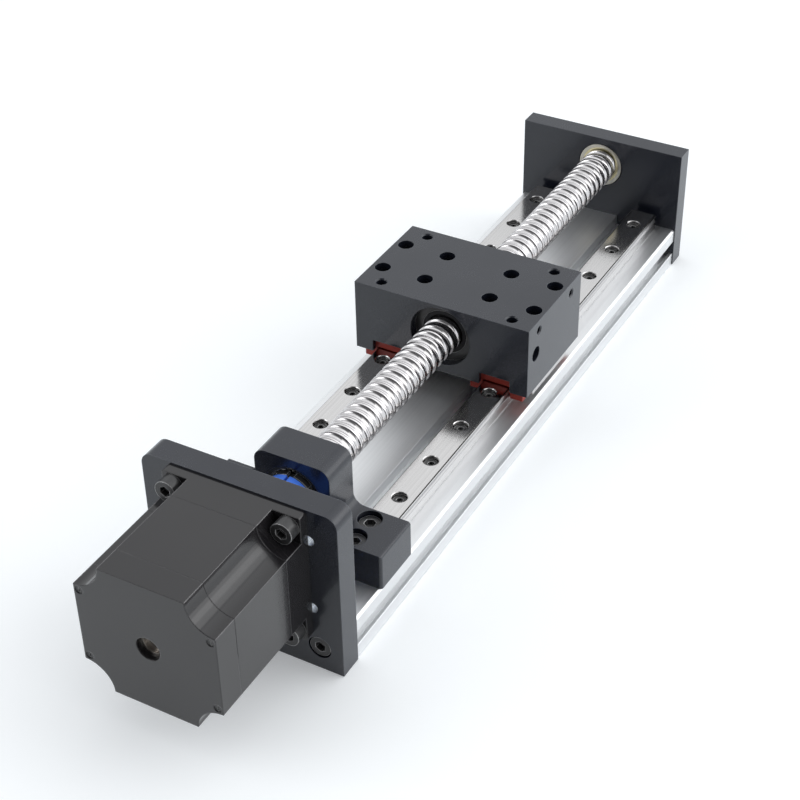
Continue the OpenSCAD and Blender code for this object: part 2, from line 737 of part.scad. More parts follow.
// One coupling hub: a clamp body with two jaws; side is 1 for the screw's hub
module hub(x0, side, bore) {
    jaw_x = side > 0 ? x0 - jaw_l + run : x0 + hub_l - eps;
    difference() {
        union() {
            pipe(x0, hub_l, coup_d, bore);
            along_x(jaw_x, jaw_l - run + eps) translate([0, axis_h]) intersection() {
                difference() {
                    circle(d = coup_d);
                    circle(r = jaw_r0 + fit);
                }
                rotate(side > 0 ? 0 : 90) square([coup_d + 1, jaw_w], center = true);
            }
        }
        translate([x0 - 1, -0.6, axis_h]) cube([hub_l + 2, 1.2, coup_d]);
        rod_y(x0 + hub_l / 2, clamp_z);
    }
}

// Cross hole for a clamp screw, with room for its head
module rod_y(x, z) {
    translate([x, -coup_d, z]) rotate([-90, 0, 0]) cylinder(h = 2 * coup_d, r = m_clamp / 2 + fit);
    translate([x, -coup_d, z]) rotate([-90, 0, 0])
        cylinder(h = coup_d - clamp_seat, d = head_d(m_clamp) + 0.5);
}

module coupling_hub_motor() { color([0.16, 0.36, 0.95]) hub(coup_x0, -1, shaft_d); }

module coupling_hub_screw() { color([0.16, 0.36, 0.95]) hub(coup_x1 - hub_l, 1, journal_d); }

// Cross-shaped elastomer between the jaws
module coupling_spider() {
    color([0.15, 0.15, 0.16]) along_x(coup_x0 + hub_l + run, jaw_l - 2 * run) translate([0, axis_h])
        difference() {
        circle(d = coup_d - 1);
        circle(d = shaft_d + 1);
        difference() {
            for (a = [0, 90]) rotate(a) square([coup_d + 1, jaw_w + 2 * fit], center = true);
            circle(r = jaw_r0);
        }
    }
}

module coupling_clamp_screws() {
    color(oxide) for (x = [coup_x0 + hub_l / 2, coup_x1 - hub_l / 2])
        translate([x, -clamp_seat, clamp_z]) rotate([90, 0, 0]) cap_screw(m_clamp, 2 * clamp_seat + 2);
}

module carriage_block() {
    color(black) difference() {
        translate([car_x - car_l / 2, -stage_w / 2, car_floor]) cube([car_l, stage_w, car_top - car_floor]);
        rod(car_x - car_l / 2 - 1, nut_recess + collar_l + 1, collar_d + 2 * fit);
        rod(car_x - car_l / 2, car_l + 1, nut_d + 2 * fit);
        for (s = [-1, 1]) translate([car_x, s * rail_y, 0]) {
            translate([-slider_l / 2 - fit, -slider_w / 2 - fit, car_floor - 1])
                cube([slider_l + 2 * fit, slider_w + 2 * fit, car_skirt + 1]);
            translate([-car_l / 2 - 1, -notch_w / 2, car_floor - 1])
                cube([car_l + 2, notch_w, car_skirt + 1]);
            for (i = [-1, 1], j = [-1, 1]) translate([i * slider_pitch / 2, j * slider_pitch / 2, 0]) {
                translate([0, 0, slider_top - 1]) cylinder(h = car_h + 2, d = m_small + 0.3);
                translate([0, 0, car_top - car_cb_depth]) cylinder(h = car_cb_depth + 1, d = car_cb_d);
            }
        }
        for (i = [-1, 1], j = [-1, 1])
            translate([car_x + i * payload_px / 2, j * payload_py / 2, car_top]) {
            translate([0, 0, -payload_depth]) cylinder(h = payload_depth + 1, d = payload_d);
            translate([0, 0, -0.5]) cylinder(h = 0.51, d1 = payload_d, d2 = payload_d + 1);
        }
        for (s = [-1, 1]) {
            for (i = [-1, 1]) translate([car_x + i * flag_pitch / 2, s * stage_w / 2, car_top - flag_drop])
                rotate([-s * 90, 0, 0]) {
                    translate([0, 0, -flag_depth]) cylinder(h = flag_depth + 1, d = flag_d);
                    translate([0, 0, -0.5]) cylinder(h = 0.51, d1 = flag_d, d2 = flag_d + 1);
                }
            translate([nut_grip_x(), 0, axis_h]) rotate([-s * 90, 0, 0]) {
                cylinder(h = stage_w, d = nut_grip_d + 2 * fit);
                translate([0, 0, stage_w / 2 - nut_grip_cb_depth])
                    cylinder(h = nut_grip_cb_depth + 1, d = nut_grip_cb_d);
            }
        }
    }
}

function nut_grip_x() = nut_face + collar_l / 2;

module carriage_screws() {
    color(oxide) for (s = [-1, 1], i = [-1, 1], j = [-1, 1])
        translate([car_x + i * slider_pitch / 2, s * rail_y + j * slider_pitch / 2, car_top - car_cb_depth])
            cap_screw(m_small, car_h - car_cb_depth + 3);
}

module ball_nut() {
    color(steel) difference() {
        union() {
            rod(nut_face, collar_l, collar_d);
            rod(nut_face, nut_l, nut_d);
        }
        rod(nut_face - 1, nut_l + 2, screw_d + 2 * run);
        for (x = [nut_face - 1, nut_face + nut_l - 2]) rod(x, 3, screw_d + 4);
    }
}

module nut_wipers() {
    color([0.08, 0.08, 0.08]) for (x = [nut_face, nut_face + nut_l - 2])
        pipe(x, 2, screw_d + 4 - 2 * fit, screw_d + 2 * run);
}

module nut_grip_screws() {
    color(oxide) for (s = [-1, 1]) translate([nut_grip_x(), s * (collar_d / 2 + fit), axis_h])
        rotate([-s * 90, 0, 0]) difference() {
        cylinder(h = 6, d = nut_grip_d);
        translate([0, 0, 3.4]) cylinder(h = 4, d = 2.5 / cos(30), $fn = 6);
    }
}

// Slider outline in Y-Z about its rail, hollow over the rail and reaching into its races
module slider_outline(w, top) {
    difference() {
        union() {
            difference() {
                translate([-w / 2, slider_lift]) square([w, top - slider_lift]);
                translate([-rail_w / 2 - run, 0]) square([rail_w + 2 * run, rail_h + 0.5]);
            }
            for (s = [-1, 1]) intersection() {
                translate([s * race_y, race_z]) circle(race_r - run);
                translate([s * (rail_w / 2 + run) - 1, 0]) square([2, rail_h]);
            }
        }
        for (s = [-1, 1]) translate([s * w / 2, top]) rotate(45) square(1.2, center = true);
    }
}

module slider_block(y) {
    color(steel) difference() {
        along_x(car_x - body_l / 2, body_l) translate([y, base_h]) slider_outline(slider_w, slider_h);
        for (i = [-1, 1], j = [-1, 1])
            translate([car_x + i * slider_pitch / 2, y + j * slider_pitch / 2, slider_top - 3.5])
            cylinder(h = 5, r = small_tap);
    }
}

module slider_caps(y) {
    color([0.72, 0.10, 0.06]) for (s = [-1, 1]) difference() {
        along_x(car_x + s * (slider_l - cap_l) / 2 - cap_l / 2, cap_l) translate([y, base_h])
            slider_outline(slider_w - 2 * cap_inset, slider_h - 0.4);
        for (j = [-1, 1]) translate([car_x + s * slider_l / 2, y + j * cap_screw_y(), base_h + 8])
            rotate([0, -s * 90, 0]) {
            translate([0, 0, -1]) cylinder(h = 2, d = 3.2);
            translate([0, 0, -1]) cylinder(h = cap_l + 2, d = 1.6 + 2 * fit);
        }
    }
}

function cap_screw_y() = slider_w / 2 - cap_inset - 2.6;

module slider_block_left() { slider_block(rail_y); }

module slider_block_right() { slider_block(-rail_y); }

module slider_caps_left() { slider_caps(rail_y); }

module slider_caps_right() { slider_caps(-rail_y); }

module slider_cap_screws() {
    color(oxide) for (y = [-rail_y, rail_y], s = [-1, 1], j = [-1, 1])
        translate([car_x + s * (slider_l / 2 - 1), y + j * cap_screw_y(), base_h + 8])
            rotate([0, s * 90, 0]) difference() {
            union() {
                cylinder(h = 0.9, d = 3);
                translate([0, 0, 1 - cap_l]) cylinder(h = cap_l - 1 + eps, d = 1.6);
            }
            translate([0, 0, 0.4]) cube([2, 0.5, 1.2], center = true);
        }
}

base_extrusion();
rail_left();
rail_right();
rail_screws();
motor_plate();
motor_plate_screws();
support_block();
support_screws();
support_bearing_outers();
support_snap_ring();
tail_plate();
tail_plate_screws();
tail_bearing_outer();
tail_bearing_shield();
motor_front_cap();
motor_stator();
motor_rear_cap();
motor_case_screws();
motor_mount_screws();
motor_bearing_outers();
lead_grommet();
ball_screw();
bearing_spacer();
support_bearing_inners();
support_bearing_balls();
lock_nut();
tail_bearing_inner();
tail_bearing_balls();
tail_retaining_ring();
coupling_hub_screw();
coupling_spider();
coupling_hub_motor();
coupling_clamp_screws();
motor_shaft();
motor_rotor();
motor_bearing_inners();
motor_bearing_balls();
carriage_block();
carriage_screws();
ball_nut();
nut_wipers();
nut_grip_screws();
slider_block_left();
slider_block_right();
slider_caps_left();
slider_caps_right();
slider_cap_screws();
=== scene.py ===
import math

import bmesh
import bpy
import numpy as np
from mathutils import Matrix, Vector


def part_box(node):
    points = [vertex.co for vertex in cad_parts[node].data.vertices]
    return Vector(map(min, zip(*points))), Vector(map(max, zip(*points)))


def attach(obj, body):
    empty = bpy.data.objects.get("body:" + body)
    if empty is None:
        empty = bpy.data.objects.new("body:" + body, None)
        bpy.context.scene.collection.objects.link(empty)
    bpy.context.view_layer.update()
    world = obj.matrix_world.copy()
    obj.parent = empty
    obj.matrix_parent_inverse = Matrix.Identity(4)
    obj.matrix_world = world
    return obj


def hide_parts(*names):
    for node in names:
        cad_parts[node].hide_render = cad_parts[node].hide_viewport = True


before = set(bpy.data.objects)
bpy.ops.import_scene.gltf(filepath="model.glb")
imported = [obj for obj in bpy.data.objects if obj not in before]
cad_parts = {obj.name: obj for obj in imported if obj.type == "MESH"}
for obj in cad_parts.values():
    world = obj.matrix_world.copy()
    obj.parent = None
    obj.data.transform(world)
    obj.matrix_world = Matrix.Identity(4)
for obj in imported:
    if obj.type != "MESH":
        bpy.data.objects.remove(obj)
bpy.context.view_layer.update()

scene = bpy.context.scene
scene.view_settings.view_transform = "Standard"

# ---------------------------------------------------------------------------------------------
# Camera. It stands above the motor's corner, level but for a degree, and looks down the length
# of the module through a long lens.
eye = (-0.381277, -0.277310, 0.450844)
sight = (0.120342, 0.009338, 0.02)
roll = -1.131


def facing(place, aim, turned=0.0):
    """Matrix of something at place that looks at aim. Z runs back from aim, X is level before it is turned
    by some degrees about Z, and Y is Z x X."""
    z = np.subtract(place, aim)
    z /= np.linalg.norm(z)
    level = np.cross((0.0, 1.0, 0.0) if abs(z[2]) > 0.9 else (0.0, 0.0, 1.0), z)
    level /= np.linalg.norm(level)
    x = level * math.cos(math.radians(turned)) + np.cross(z, level) * math.sin(math.radians(turned))
    return Matrix([*zip(x, np.cross(z, x), z, place), (0.0, 0.0, 0.0, 1.0)])


camera = bpy.data.objects.new("camera", bpy.data.cameras.new("camera"))
camera.data.sensor_width, camera.data.lens = 36.0, 78.50
camera.data.clip_start, camera.data.clip_end = 0.01, 20.0
camera.matrix_world = facing(eye, sight, roll)
scene.collection.objects.link(camera)
scene.camera = camera


# ---------------------------------------------------------------------------------------------
# Table and light. A matt white table top stands in a pale tent, under a wide soft box overhead,
# with two more on the right and a small one on the left.
class Tap:
    """One output of a shader node. Sums and products of taps and numbers add Math nodes."""

    def __init__(self, socket):
        self.socket = socket

    def fill(self, *values):
        """Plugs values into the node's sockets in their order, where the sockets share a name."""
        for entry, value in zip(self.socket.node.inputs, values):
            plug(entry, value)
        return self

    def math(self, operation, first, second=0.0, clamp=False):
        """One Math node in the same tree."""
        node = self.socket.id_data.nodes.new("ShaderNodeMath")
        node.operation, node.use_clamp = operation, clamp
        return Tap(node.outputs[0]).fill(first, second)

    def __add__(self, other):
        return self.math("ADD", self, other)

    def __sub__(self, other):
        return self.math("SUBTRACT", self, other)

    def __rsub__(self, other):
        return self.math("SUBTRACT", other, self)

    def __mul__(self, other):
        return self.math("MULTIPLY", self, other)

    def __truediv__(self, other):
        return self.math("DIVIDE", self, other)

    def __rtruediv__(self, other):
        return self.math("DIVIDE", other, self)

    def __pow__(self, other):
        return self.math("POWER", self, other)

    def __gt__(self, other):
        return self.math("GREATER_THAN", self, other)

    def __lt__(self, other):
        return self.math("LESS_THAN", self, other)

    def held(self):
        """The same value kept between 0 and 1."""
        return self.math("ADD", self, 0.0, clamp=True)

    def size(self):
        """The value without its sign."""
        return self.math("ABSOLUTE", self)

    def wave(self):
        """The sine of the value, read as radians."""
        return self.math("SINE", self)

    __radd__, __rmul__ = __add__, __mul__


def plug(entry, value):
    """Links a tap into a node's entry, or writes a plain value on it."""
    if isinstance(value, Tap):
        value.socket.id_data.links.new(value.socket, entry)
    else:
        entry.default_value = value


def rgb(colour):
    """A tap as it is, or three numbers with full alpha."""
    return colour if isinstance(colour, Tap) else (*colour, 1.0)


class Finish:
    """A surface finish, built up node by node from Object coordinates in metres."""

    def __init__(self, name):
        self.material = bpy.data.materials.new(name)
        self.start(self.material, "Object")

    def start(self, owner, coordinates):
        """Empties the owner's node tree and takes the place of each point from coordinates."""
        owner.use_nodes = True
        self.tree = owner.node_tree
        self.tree.nodes.clear()
        self.place = self.node("TexCoord", out=coordinates)

    def node(self, kind, settings=None, sockets=None, out=None):
        """Adds one node: its settings first, then the values or links of its sockets."""
        made = self.tree.nodes.new("ShaderNode" + kind)
        for key, value in (settings or {}).items():
            setattr(made, key, value)
        for key, value in (sockets or {}).items():
            plug(next(s for s in made.inputs if s.name == key and s.enabled), value)
        live = [s for s in made.outputs if s.enabled]
        return Tap(next((s for s in live if s.name == out), live[0]) if live else None)

    def stretched(self, x, y, z):
        """Object coordinates scaled on each axis, so that a pattern runs along one of them."""
        return self.node("Mapping", sockets={"Vector": self.place, "Scale": (x, y, z)})

    def axis(self, name):
        """One of the Object coordinates: X, Y or Z."""
        return self.node("SeparateXYZ", sockets={"Vector": self.place}, out=name)

    def noise(self, scale, detail=3.0, vector=None, rough=0.55):
        """Soft noise about 0.5, with scale cells to the metre of the vector that it reads."""
        sockets = {"Vector": vector or self.place, "Scale": scale, "Detail": detail, "Roughness": rough}
        return self.node("TexNoise", sockets=sockets, out="Fac")

    def blend(self, share, first, second):
        """Colour that goes from first to second with share."""
        return self.node("Mix", {"data_type": "RGBA"}, {"Factor": share, "A": rgb(first), "B": rgb(second)})

    def dot(self, first, second):
        """Dot product of two vectors."""
        return self.node("VectorMath", {"operation": "DOT_PRODUCT"}, out="Value").fill(first, second)

    def edges(self, radius, strength):
        """Rounded normal near an edge, and a mask that is 1 on the edge, where it leaves the flat normal."""
        rounded = self.node("Bevel", {"samples": 6}, {"Radius": radius})
        flat = self.node("NewGeometry", out="Normal")
        return rounded, ((1.0 - self.dot(rounded, flat)) * strength).held()

    def lengthwise(self, normal):
        """1 where a rounded normal has no part along X, as on an edge that runs along the travel axis."""
        return (1.0 - self.dot(normal, (1.0, 0.0, 0.0)).size() * 3.0).held()

    def bump(self, height, depth, normal=None):
        """Normal pushed about by a height of 0 to 1 that stands for depth metres."""
        sockets = {"Height": height, "Distance": depth, "Strength": 1.0}
        if normal:
            sockets["Normal"] = normal
        return self.node("Bump", sockets=sockets)

    def shade(self, base, rough, metal=0.0, normal=None, **constants):
        """Puts the finish on a Principled shader. Constants go by the names of its sockets."""
        sockets = {"Base Color": rgb(base), "Roughness": rough, "Metallic": metal}
        if normal:
            sockets["Normal"] = normal
        sockets.update((key.replace("_", " "), value) for key, value in constants.items())
        self.node("OutputMaterial", sockets={"Surface": self.node("BsdfPrincipled", sockets=sockets)})
        return self.material


class Tent(Finish):
    """Even light from all sides, brighter overhead and low on the right, and dark about the eye."""

    def __init__(self, name, level, tint):
        scene.world = bpy.data.worlds.new(name)
        self.start(scene.world, "Generated")
        toward_eye = self.lobe(facing(eye, sight).col[2][:3], 0.50, 0.30)
        overhead = self.lobe((0.35, 0.10, 0.93), 0.2, 0.8)
        low_right = self.lobe((0.25, -0.93, 0.27), 0.1, 0.8)
        strength = (level + overhead * 0.08 + low_right * 0.70) * (1.0 - toward_eye * 0.86)
        light = self.node("Background", sockets={"Color": rgb(tint), "Strength": strength})
        self.node("OutputWorld", sockets={"Surface": light})

    def lobe(self, middle, rim, span):
        """0 where the cosine of the angle from middle is under rim, then rising evenly to 1 over span."""
        return ((self.dot(self.place, middle) - rim) / span).held()


def soft_box(name, place, width, depth, watts, tint=(1.0, 1.0, 1.0)):
    """A rectangular lamp at place that faces the middle of the module."""
    lamp = bpy.data.lights.new(name, "AREA")
    lamp.shape, lamp.size, lamp.size_y, lamp.energy, lamp.color = "RECTANGLE", width, depth, watts, tint
    held = bpy.data.objects.new(name, lamp)
    held.matrix_world = facing(place, (0.12, 0.0, 0.02))
    scene.collection.objects.link(held)


Tent("room", 0.82, (0.96, 0.98, 1.0))
soft_box("overhead", (0.55, 0.25, 1.40), 2.4, 1.8, 3.0)
soft_box("right_side", (0.15, -1.05, 0.80), 1.8, 1.0, 5.0)
soft_box("right_low", (0.95, -1.15, 0.45), 1.8, 0.8, 3.0)
soft_box("left_side", (-0.55, 0.80, 0.70), 0.8, 0.5, 2.5, (0.97, 0.98, 1.0))

reach, drop = 12.0, 0.0002
corners = [(-reach, -reach, -drop), (reach, -reach, -drop), (reach, reach, -drop), (-reach, reach, -drop)]
table = bpy.data.meshes.new("table")
table.from_pydata(corners, [], [(0, 1, 2, 3)])
table_top = bpy.data.objects.new("table_top", table)
scene.collection.objects.link(table_top)
white = Finish("white_table")
paper = white.node("BsdfPrincipled", sockets={"Base Color": rgb((0.79, 0.81, 0.82)), "Roughness": 0.85,
                                              "Specular IOR Level": 0.15})
glow = white.node("Emission", sockets={"Color": rgb((0.95, 0.97, 1.0)), "Strength": 0.26})
dark = white.node("Emission", sockets={"Color": rgb((0.0, 0.0, 0.0))})
seen = white.node("LightPath", out="Is Camera Ray")
for ray in ("Is Glossy Ray", "Is Transmission Ray"):
    seen = seen.math("MAXIMUM", seen, white.node("LightPath", out=ray))
lift = white.node("MixShader").fill(seen, dark, glow)
white.node("OutputMaterial", sockets={"Surface": white.node("AddShader").fill(paper, lift)})
table.materials.append(white.material)


# ---------------------------------------------------------------------------------------------
# Base extrusion. 6063 aluminium drawn through a die, brushed by it along its length, then
# anodised clear. The skin is pale satin with faint lines that never leave the travel axis.
def dress(material, *nodes):
    """Puts a material on pieces of the frame."""
    for name in nodes:
        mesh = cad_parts[name].data
        mesh.materials.clear()
        mesh.materials.append(material)


clear = Finish("clear_anodised")
drawn = clear.noise(1.0, 4.0, clear.stretched(1.5, 900.0, 900.0), 0.7)
cloud = clear.noise(18.0, 2.0)
rounded, edge_mask = clear.edges(0.0005, 6.0)
skin = clear.blend((drawn - 0.35) * 1.4 + edge_mask * 0.4, (0.79, 0.80, 0.81), (0.91, 0.92, 0.93))
dress(clear.shade(skin, 0.30 + drawn * 0.14 + cloud * 0.05, 0.94, clear.bump(drawn, 0.000006, rounded),
                  Specular_IOR_Level=0.5),
      "base_extrusion")

# ---------------------------------------------------------------------------------------------
# Rails and sliders. Hardened bearing steel, ground along the travel axis on a surface grinder:
# close straight lines, a clean bright face and slightly duller flanks, with painted shadow along
# the rails' top edges and in their races. The spacer, the rotor and outer rings of bearings are ground too.
rail_y, rail_top, half_rail = 0.025, 0.027, 0.006
chamfer_width, chamfer_depth = 0.00040, 0.00042
race_width, race_top, race_foot = 0.0009, 0.0010, 0.0040


def ground_steel(name, rail):
    """Ground steel. On a rail the edge chamfers carry a near-black painted shadow line and the races a darker
    painted shade: both lie outside the ground top, near half a rail's width from its middle."""
    made = Finish(name)
    grain = made.noise(1.0, 5.0, made.stretched(4.0, 2600.0, 2600.0), 0.65)
    haze = made.noise(60.0, 2.0)
    rounded, edge_mask = made.edges(0.0003, 5.0)
    colour = made.blend((grain - 0.3) * 1.3 + edge_mask * 0.5, (0.56, 0.55, 0.545), (0.76, 0.75, 0.745))
    rough = 0.06 + grain * 0.10 + haze * 0.05
    if rail:
        out, z = (made.axis("Y").size() - rail_y).size(), made.axis("Z")
        # Painted shadow: scale marks the top edge chamfers, painted near black as the thin shadow line under
        # the rail's top edge; race marks the race groove, painted darker as shade in the hollow.
        scale = (out > half_rail - chamfer_width) * (z > rail_top - chamfer_depth)
        race = (out > half_rail - race_width) * (z > rail_top - race_foot) * (rail_top - race_top > z)
        colour = made.blend(scale, made.blend(race * 0.6, colour, (0.20, 0.20, 0.21)), (0.035, 0.034, 0.033))
        rough = rough + race * 0.2 + scale * 0.2
    return made.shade(colour, rough, 1.0, made.bump(grain, 0.000008, rounded))


dress(ground_steel("ground_rail", True), "rail_left", "rail_right")
dress(ground_steel("ground_steel", False), "slider_block_left", "slider_block_right", "bearing_spacer",
      "support_bearing_outers", "motor_bearing_outers", "motor_rotor")

# ---------------------------------------------------------------------------------------------
# Plates, support block and carriage block. Milled 6061 plate, bead blasted and anodised black:
# a dark satin skin with a fine tooth, paler along the milled edges with wear and painted highlight.
# The motor plate's four spare holes were drilled after anodising, and their walls are bare.
spare_y, spare_z, spare_rise, spare_wall = 0.0284, 0.044, 0.0155, 0.00222


def black_anodised(name, drilled):
    """Black anodised plate. Where drilled, it is bare within spare_wall of the axes of the spare holes."""
    made = Finish(name)
    tooth = made.noise(2600.0, 2.0)
    milled = made.noise(1.0, 3.0, made.stretched(260.0, 22.0, 260.0), 0.6)
    patch = made.noise(35.0, 3.0)
    rounded, edge_mask = made.edges(0.0005, 5.0)
    # Painted highlight: the edge mask paints the milled edges paler for the light they catch, besides wear.
    colour = made.blend(edge_mask * 0.55 + patch * 0.1, (0.0028, 0.0042, 0.0110), (0.170, 0.180, 0.200))
    bare = 0.0
    if drilled:
        along = made.axis("Y").size() - spare_y
        up = (made.axis("Z") - spare_z).size() - spare_rise
        bare = spare_wall > (along * along + up * up) ** 0.5
        colour = made.blend(bare, colour, (0.86, 0.87, 0.88))
    return made.shade(colour, 0.19 + tooth * 0.08 + patch * 0.06, bare,
                      made.bump(tooth * 0.7 + milled * 0.3, 0.000010, rounded),
                      Coat_Weight=0.22, Coat_Roughness=0.08, Coat_Tint=(0.90, 0.95, 1.0, 1.0))


dress(black_anodised("black_anodised", False), "support_block", "tail_plate", "carriage_block")
dress(black_anodised("black_anodised_drilled", True), "motor_plate")


# ---------------------------------------------------------------------------------------------
# Socket screws, nuts and rings. The screws hold rails, plates, blocks and motor together, and
# the ball nut and lock nut sit on the ball screw. All are alloy steel, oiled black oxide, which
# rubs off on the edges; the bright edges are partly painted highlight as well.
def black_oxide(name, radius):
    """Black oxide, painted bright within about radius of every edge: worn rims and a painted highlight."""
    made = Finish(name)
    mottle = made.noise(900.0, 3.0)
    rounded, edge_mask = made.edges(radius, 12.0)
    # Painted highlight: the edge mask paints rims and socket edges bright for the light they catch, besides
    # wear.
    skin = made.blend(edge_mask * 0.8 + mottle * 0.04, (0.018, 0.018, 0.019), (0.62, 0.62, 0.62))
    return made.shade(skin, 0.24 + mottle * 0.14, edge_mask * 0.4, made.bump(mottle, 0.000006, rounded))


dress(black_oxide("black_oxide", 0.00045), "rail_screws", "motor_plate_screws", "support_screws",
      "tail_plate_screws", "motor_mount_screws", "lock_nut", "ball_nut", "carriage_screws", "nut_grip_screws")
dress(black_oxide("black_oxide_small", 0.00012), "motor_case_screws", "slider_cap_screws",
      "support_snap_ring", "tail_retaining_ring", "coupling_clamp_screws")

# ---------------------------------------------------------------------------------------------
# Tail bearing. It is pressed into the tail plate: a bronze-tinted turned outer ring, with a
# yellow passivated steel shield snapped into it.
ring = Finish("bearing_ring")
turned = ring.noise(1500.0, 3.0)
rounded, edge_mask = ring.edges(0.0002, 5.0)
skin = ring.blend(edge_mask * 0.6 + turned * 0.2, (0.58, 0.56, 0.49), (0.82, 0.80, 0.72))
dress(ring.shade(skin, 0.25 + turned * 0.15, 1.0, ring.bump(turned, 0.000005, rounded)), "tail_bearing_outer")
shield = Finish("yellow_shield")
speck = shield.noise(1200.0, 3.0)
skin = shield.blend(speck, (0.84, 0.74, 0.42), (0.94, 0.86, 0.58))
dress(shield.shade(skin, 0.26 + speck * 0.12, 1.0, shield.bump(speck, 0.000006)), "tail_bearing_shield")

# ---------------------------------------------------------------------------------------------
# Races and balls. Bearing steel, hardened through, ground and lapped to a polish. The inner
# rings are pressed on the ball screw's journals.
bright = Finish("polished_steel")
scuff = bright.noise(700.0, 3.0)
rounded, edge_mask = bright.edges(0.0002, 4.0)
skin = bright.blend(scuff, (0.66, 0.66, 0.66), (0.80, 0.80, 0.80))
dress(bright.shade(skin, 0.10 + scuff * 0.10, 1.0, bright.bump(scuff, 0.000003, rounded)),
      "support_bearing_inners", "support_bearing_balls", "tail_bearing_inner", "tail_bearing_balls",
      "motor_bearing_balls")

# ---------------------------------------------------------------------------------------------
# Motor shaft. Plain steel, turned and ground, under a brown film of preserving oil that its
# bearing rings share. One ring is pressed on at each end.
oiled = Finish("oiled_steel")
film = oiled.noise(400.0, 3.0)
rounded, edge_mask = oiled.edges(0.0002, 4.0)
skin = oiled.blend(film + edge_mask * 0.3, (0.26, 0.235, 0.21), (0.56, 0.52, 0.48))
dress(oiled.shade(skin, 0.20 + film * 0.20, 1.0, oiled.bump(film, 0.000004, rounded),
                  Coat_Weight=0.3, Coat_Roughness=0.1),
      "motor_shaft", "motor_bearing_inners")

# ---------------------------------------------------------------------------------------------
# Ball screw. Induction hardened bar, 16 mm over the lands, with a round raceway of 5 mm lead
# rolled into it as a right-hand thread, and plain turned journals at both ends.
low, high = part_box("ball_screw")
axis_z, land, lead = 0.044, 0.008, 0.005
start, stop = 0.0409, 0.2994
groove, arc = 0.00152, 0.00168
brim_width, brim_depth = 0.00008, 0.00003
hub_end, journal = 0.00495, 0.00595
shoulder, chamfer, tip = 0.0229, 0.0003, 0.0001
groove_rings, columns = 15, 56


def wound_surface():
    """Bar about the X axis: the place of each point on a grid of rings and columns. The rings follow the
    thread, at x = start + lead * (whole turns + angle / full turn) + step, kept between start and stop, where
    step goes across the groove and the land. In the groove, with off the distance along X from its middle,
    the radius is the land less brim_depth and less sqrt(arc^2 - off^2) - sqrt(arc^2 - groove^2). Beside it,
    over brim_width, the land falls by brim_depth. Both ends have plain rings, of one x and radius each."""
    angle = np.linspace(0.0, 2 * np.pi, columns, endpoint=False)
    across = groove * np.sin(np.linspace(-np.pi / 2, np.pi / 2, groove_rings))
    steps = np.concatenate([across, [groove + brim_width, lead / 2, lead - groove - brim_width]])
    turns = np.arange(-1, math.ceil((stop - start) / lead) + 1)
    nominal = (start + lead * turns[:, None] + steps[None, :]).reshape(-1, 1)
    x = np.clip(nominal + lead * angle[None, :] / (2 * np.pi), start, stop)
    off = np.abs(((x - start) / lead - angle[None, :] / (2 * np.pi) + 0.5) % 1.0 - 0.5) * lead
    floor = np.sqrt(np.maximum(arc ** 2 - off ** 2, 0.0)) - math.sqrt(arc ** 2 - groove ** 2)
    edge = brim_depth * np.clip(1.0 - (off - groove) / brim_width, 0.0, 1.0)
    radius = land - np.where(off < groove, floor + brim_depth, edge)
    motor_end = [(low.x, tip), (low.x, hub_end - chamfer), (low.x + chamfer, hub_end), (shoulder, hub_end),
                 (shoulder, journal), (start, journal)]
    tail_end = [(stop, journal), (high.x - chamfer, journal), (high.x, journal - chamfer), (high.x, tip)]
    x_before, r_before = np.repeat(np.array(motor_end).T[:, :, None], columns, axis=2)
    x_after, r_after = np.repeat(np.array(tail_end).T[:, :, None], columns, axis=2)
    x = np.vstack([x_before, x, x_after])
    radius = np.vstack([r_before, radius, r_after])
    return np.stack([x, radius * np.cos(angle), axis_z + radius * np.sin(angle)], -1)


def tube(name, grid):
    """Closed skin over a grid of rings and columns: a quad between each pair of neighbours, and one face at
    each end. Points that the thread's ends press together are merged. The faces point outwards."""
    rings, around = grid.shape[:2]
    i, j = np.meshgrid(np.arange(rings - 1), np.arange(around), indexing="ij")
    k = (j + 1) % around
    corners = (i * around + j, i * around + k, (i + 1) * around + k, (i + 1) * around + j)
    first = list(range(around))[::-1]
    last = list(range((rings - 1) * around, rings * around))
    faces = np.stack(corners, -1).reshape(-1, 4).tolist() + [first, last]
    mesh = bpy.data.meshes.new(name)
    mesh.from_pydata(grid.reshape(-1, 3).tolist(), [], faces)
    skin = bmesh.new()
    skin.from_mesh(mesh)
    bmesh.ops.remove_doubles(skin, verts=skin.verts, dist=1e-7)
    skin.to_mesh(mesh)
    skin.free()
    piece = bpy.data.objects.new(name, mesh)
    scene.collection.objects.link(piece)
    return piece


screw_bar = tube("screw_bar", wound_surface())
screw_bar.data.shade_smooth()
screw_bar.data.set_sharp_from_angle(angle=math.radians(40))

# Finish along the thread: strands in the groove, and painted shade as a dark line at the groove's
# edges and another down the middle of the land. Their places and widths are shares of the lead,
# from the groove's middle.
strands, strand_pitch = 14.0, 0.6
land_shade_edge, land_shade_span = 0.462, 0.022
brim_middle, brim_span = groove / lead + 0.006, 0.014
rolled = Finish("rolled_screw")
x, y, z = (rolled.axis(name) for name in "XYZ")
height = z - axis_z
turn = (x - start) / lead - height.math("ARCTAN2", height, y) / (2 * math.pi)
phase = turn.math("FRACT", turn + 0.5)
off = (phase - 0.5).size()
strand = rolled.node("CombineXYZ", sockets={"X": phase * strands, "Y": x / lead * strand_pitch})
threaded = (x > start) * (stop > x)
plain = 1.0 - threaded
drawn = rolled.noise(1.0, 4.0, strand, 0.7) * threaded + rolled.noise(900.0, 3.0) * plain
smear = rolled.noise(45.0, 2.0)
land_shade = ((off - land_shade_edge) / land_shade_span).held()
brim_shade = (1.0 - (off - brim_middle).size() / brim_span).held()
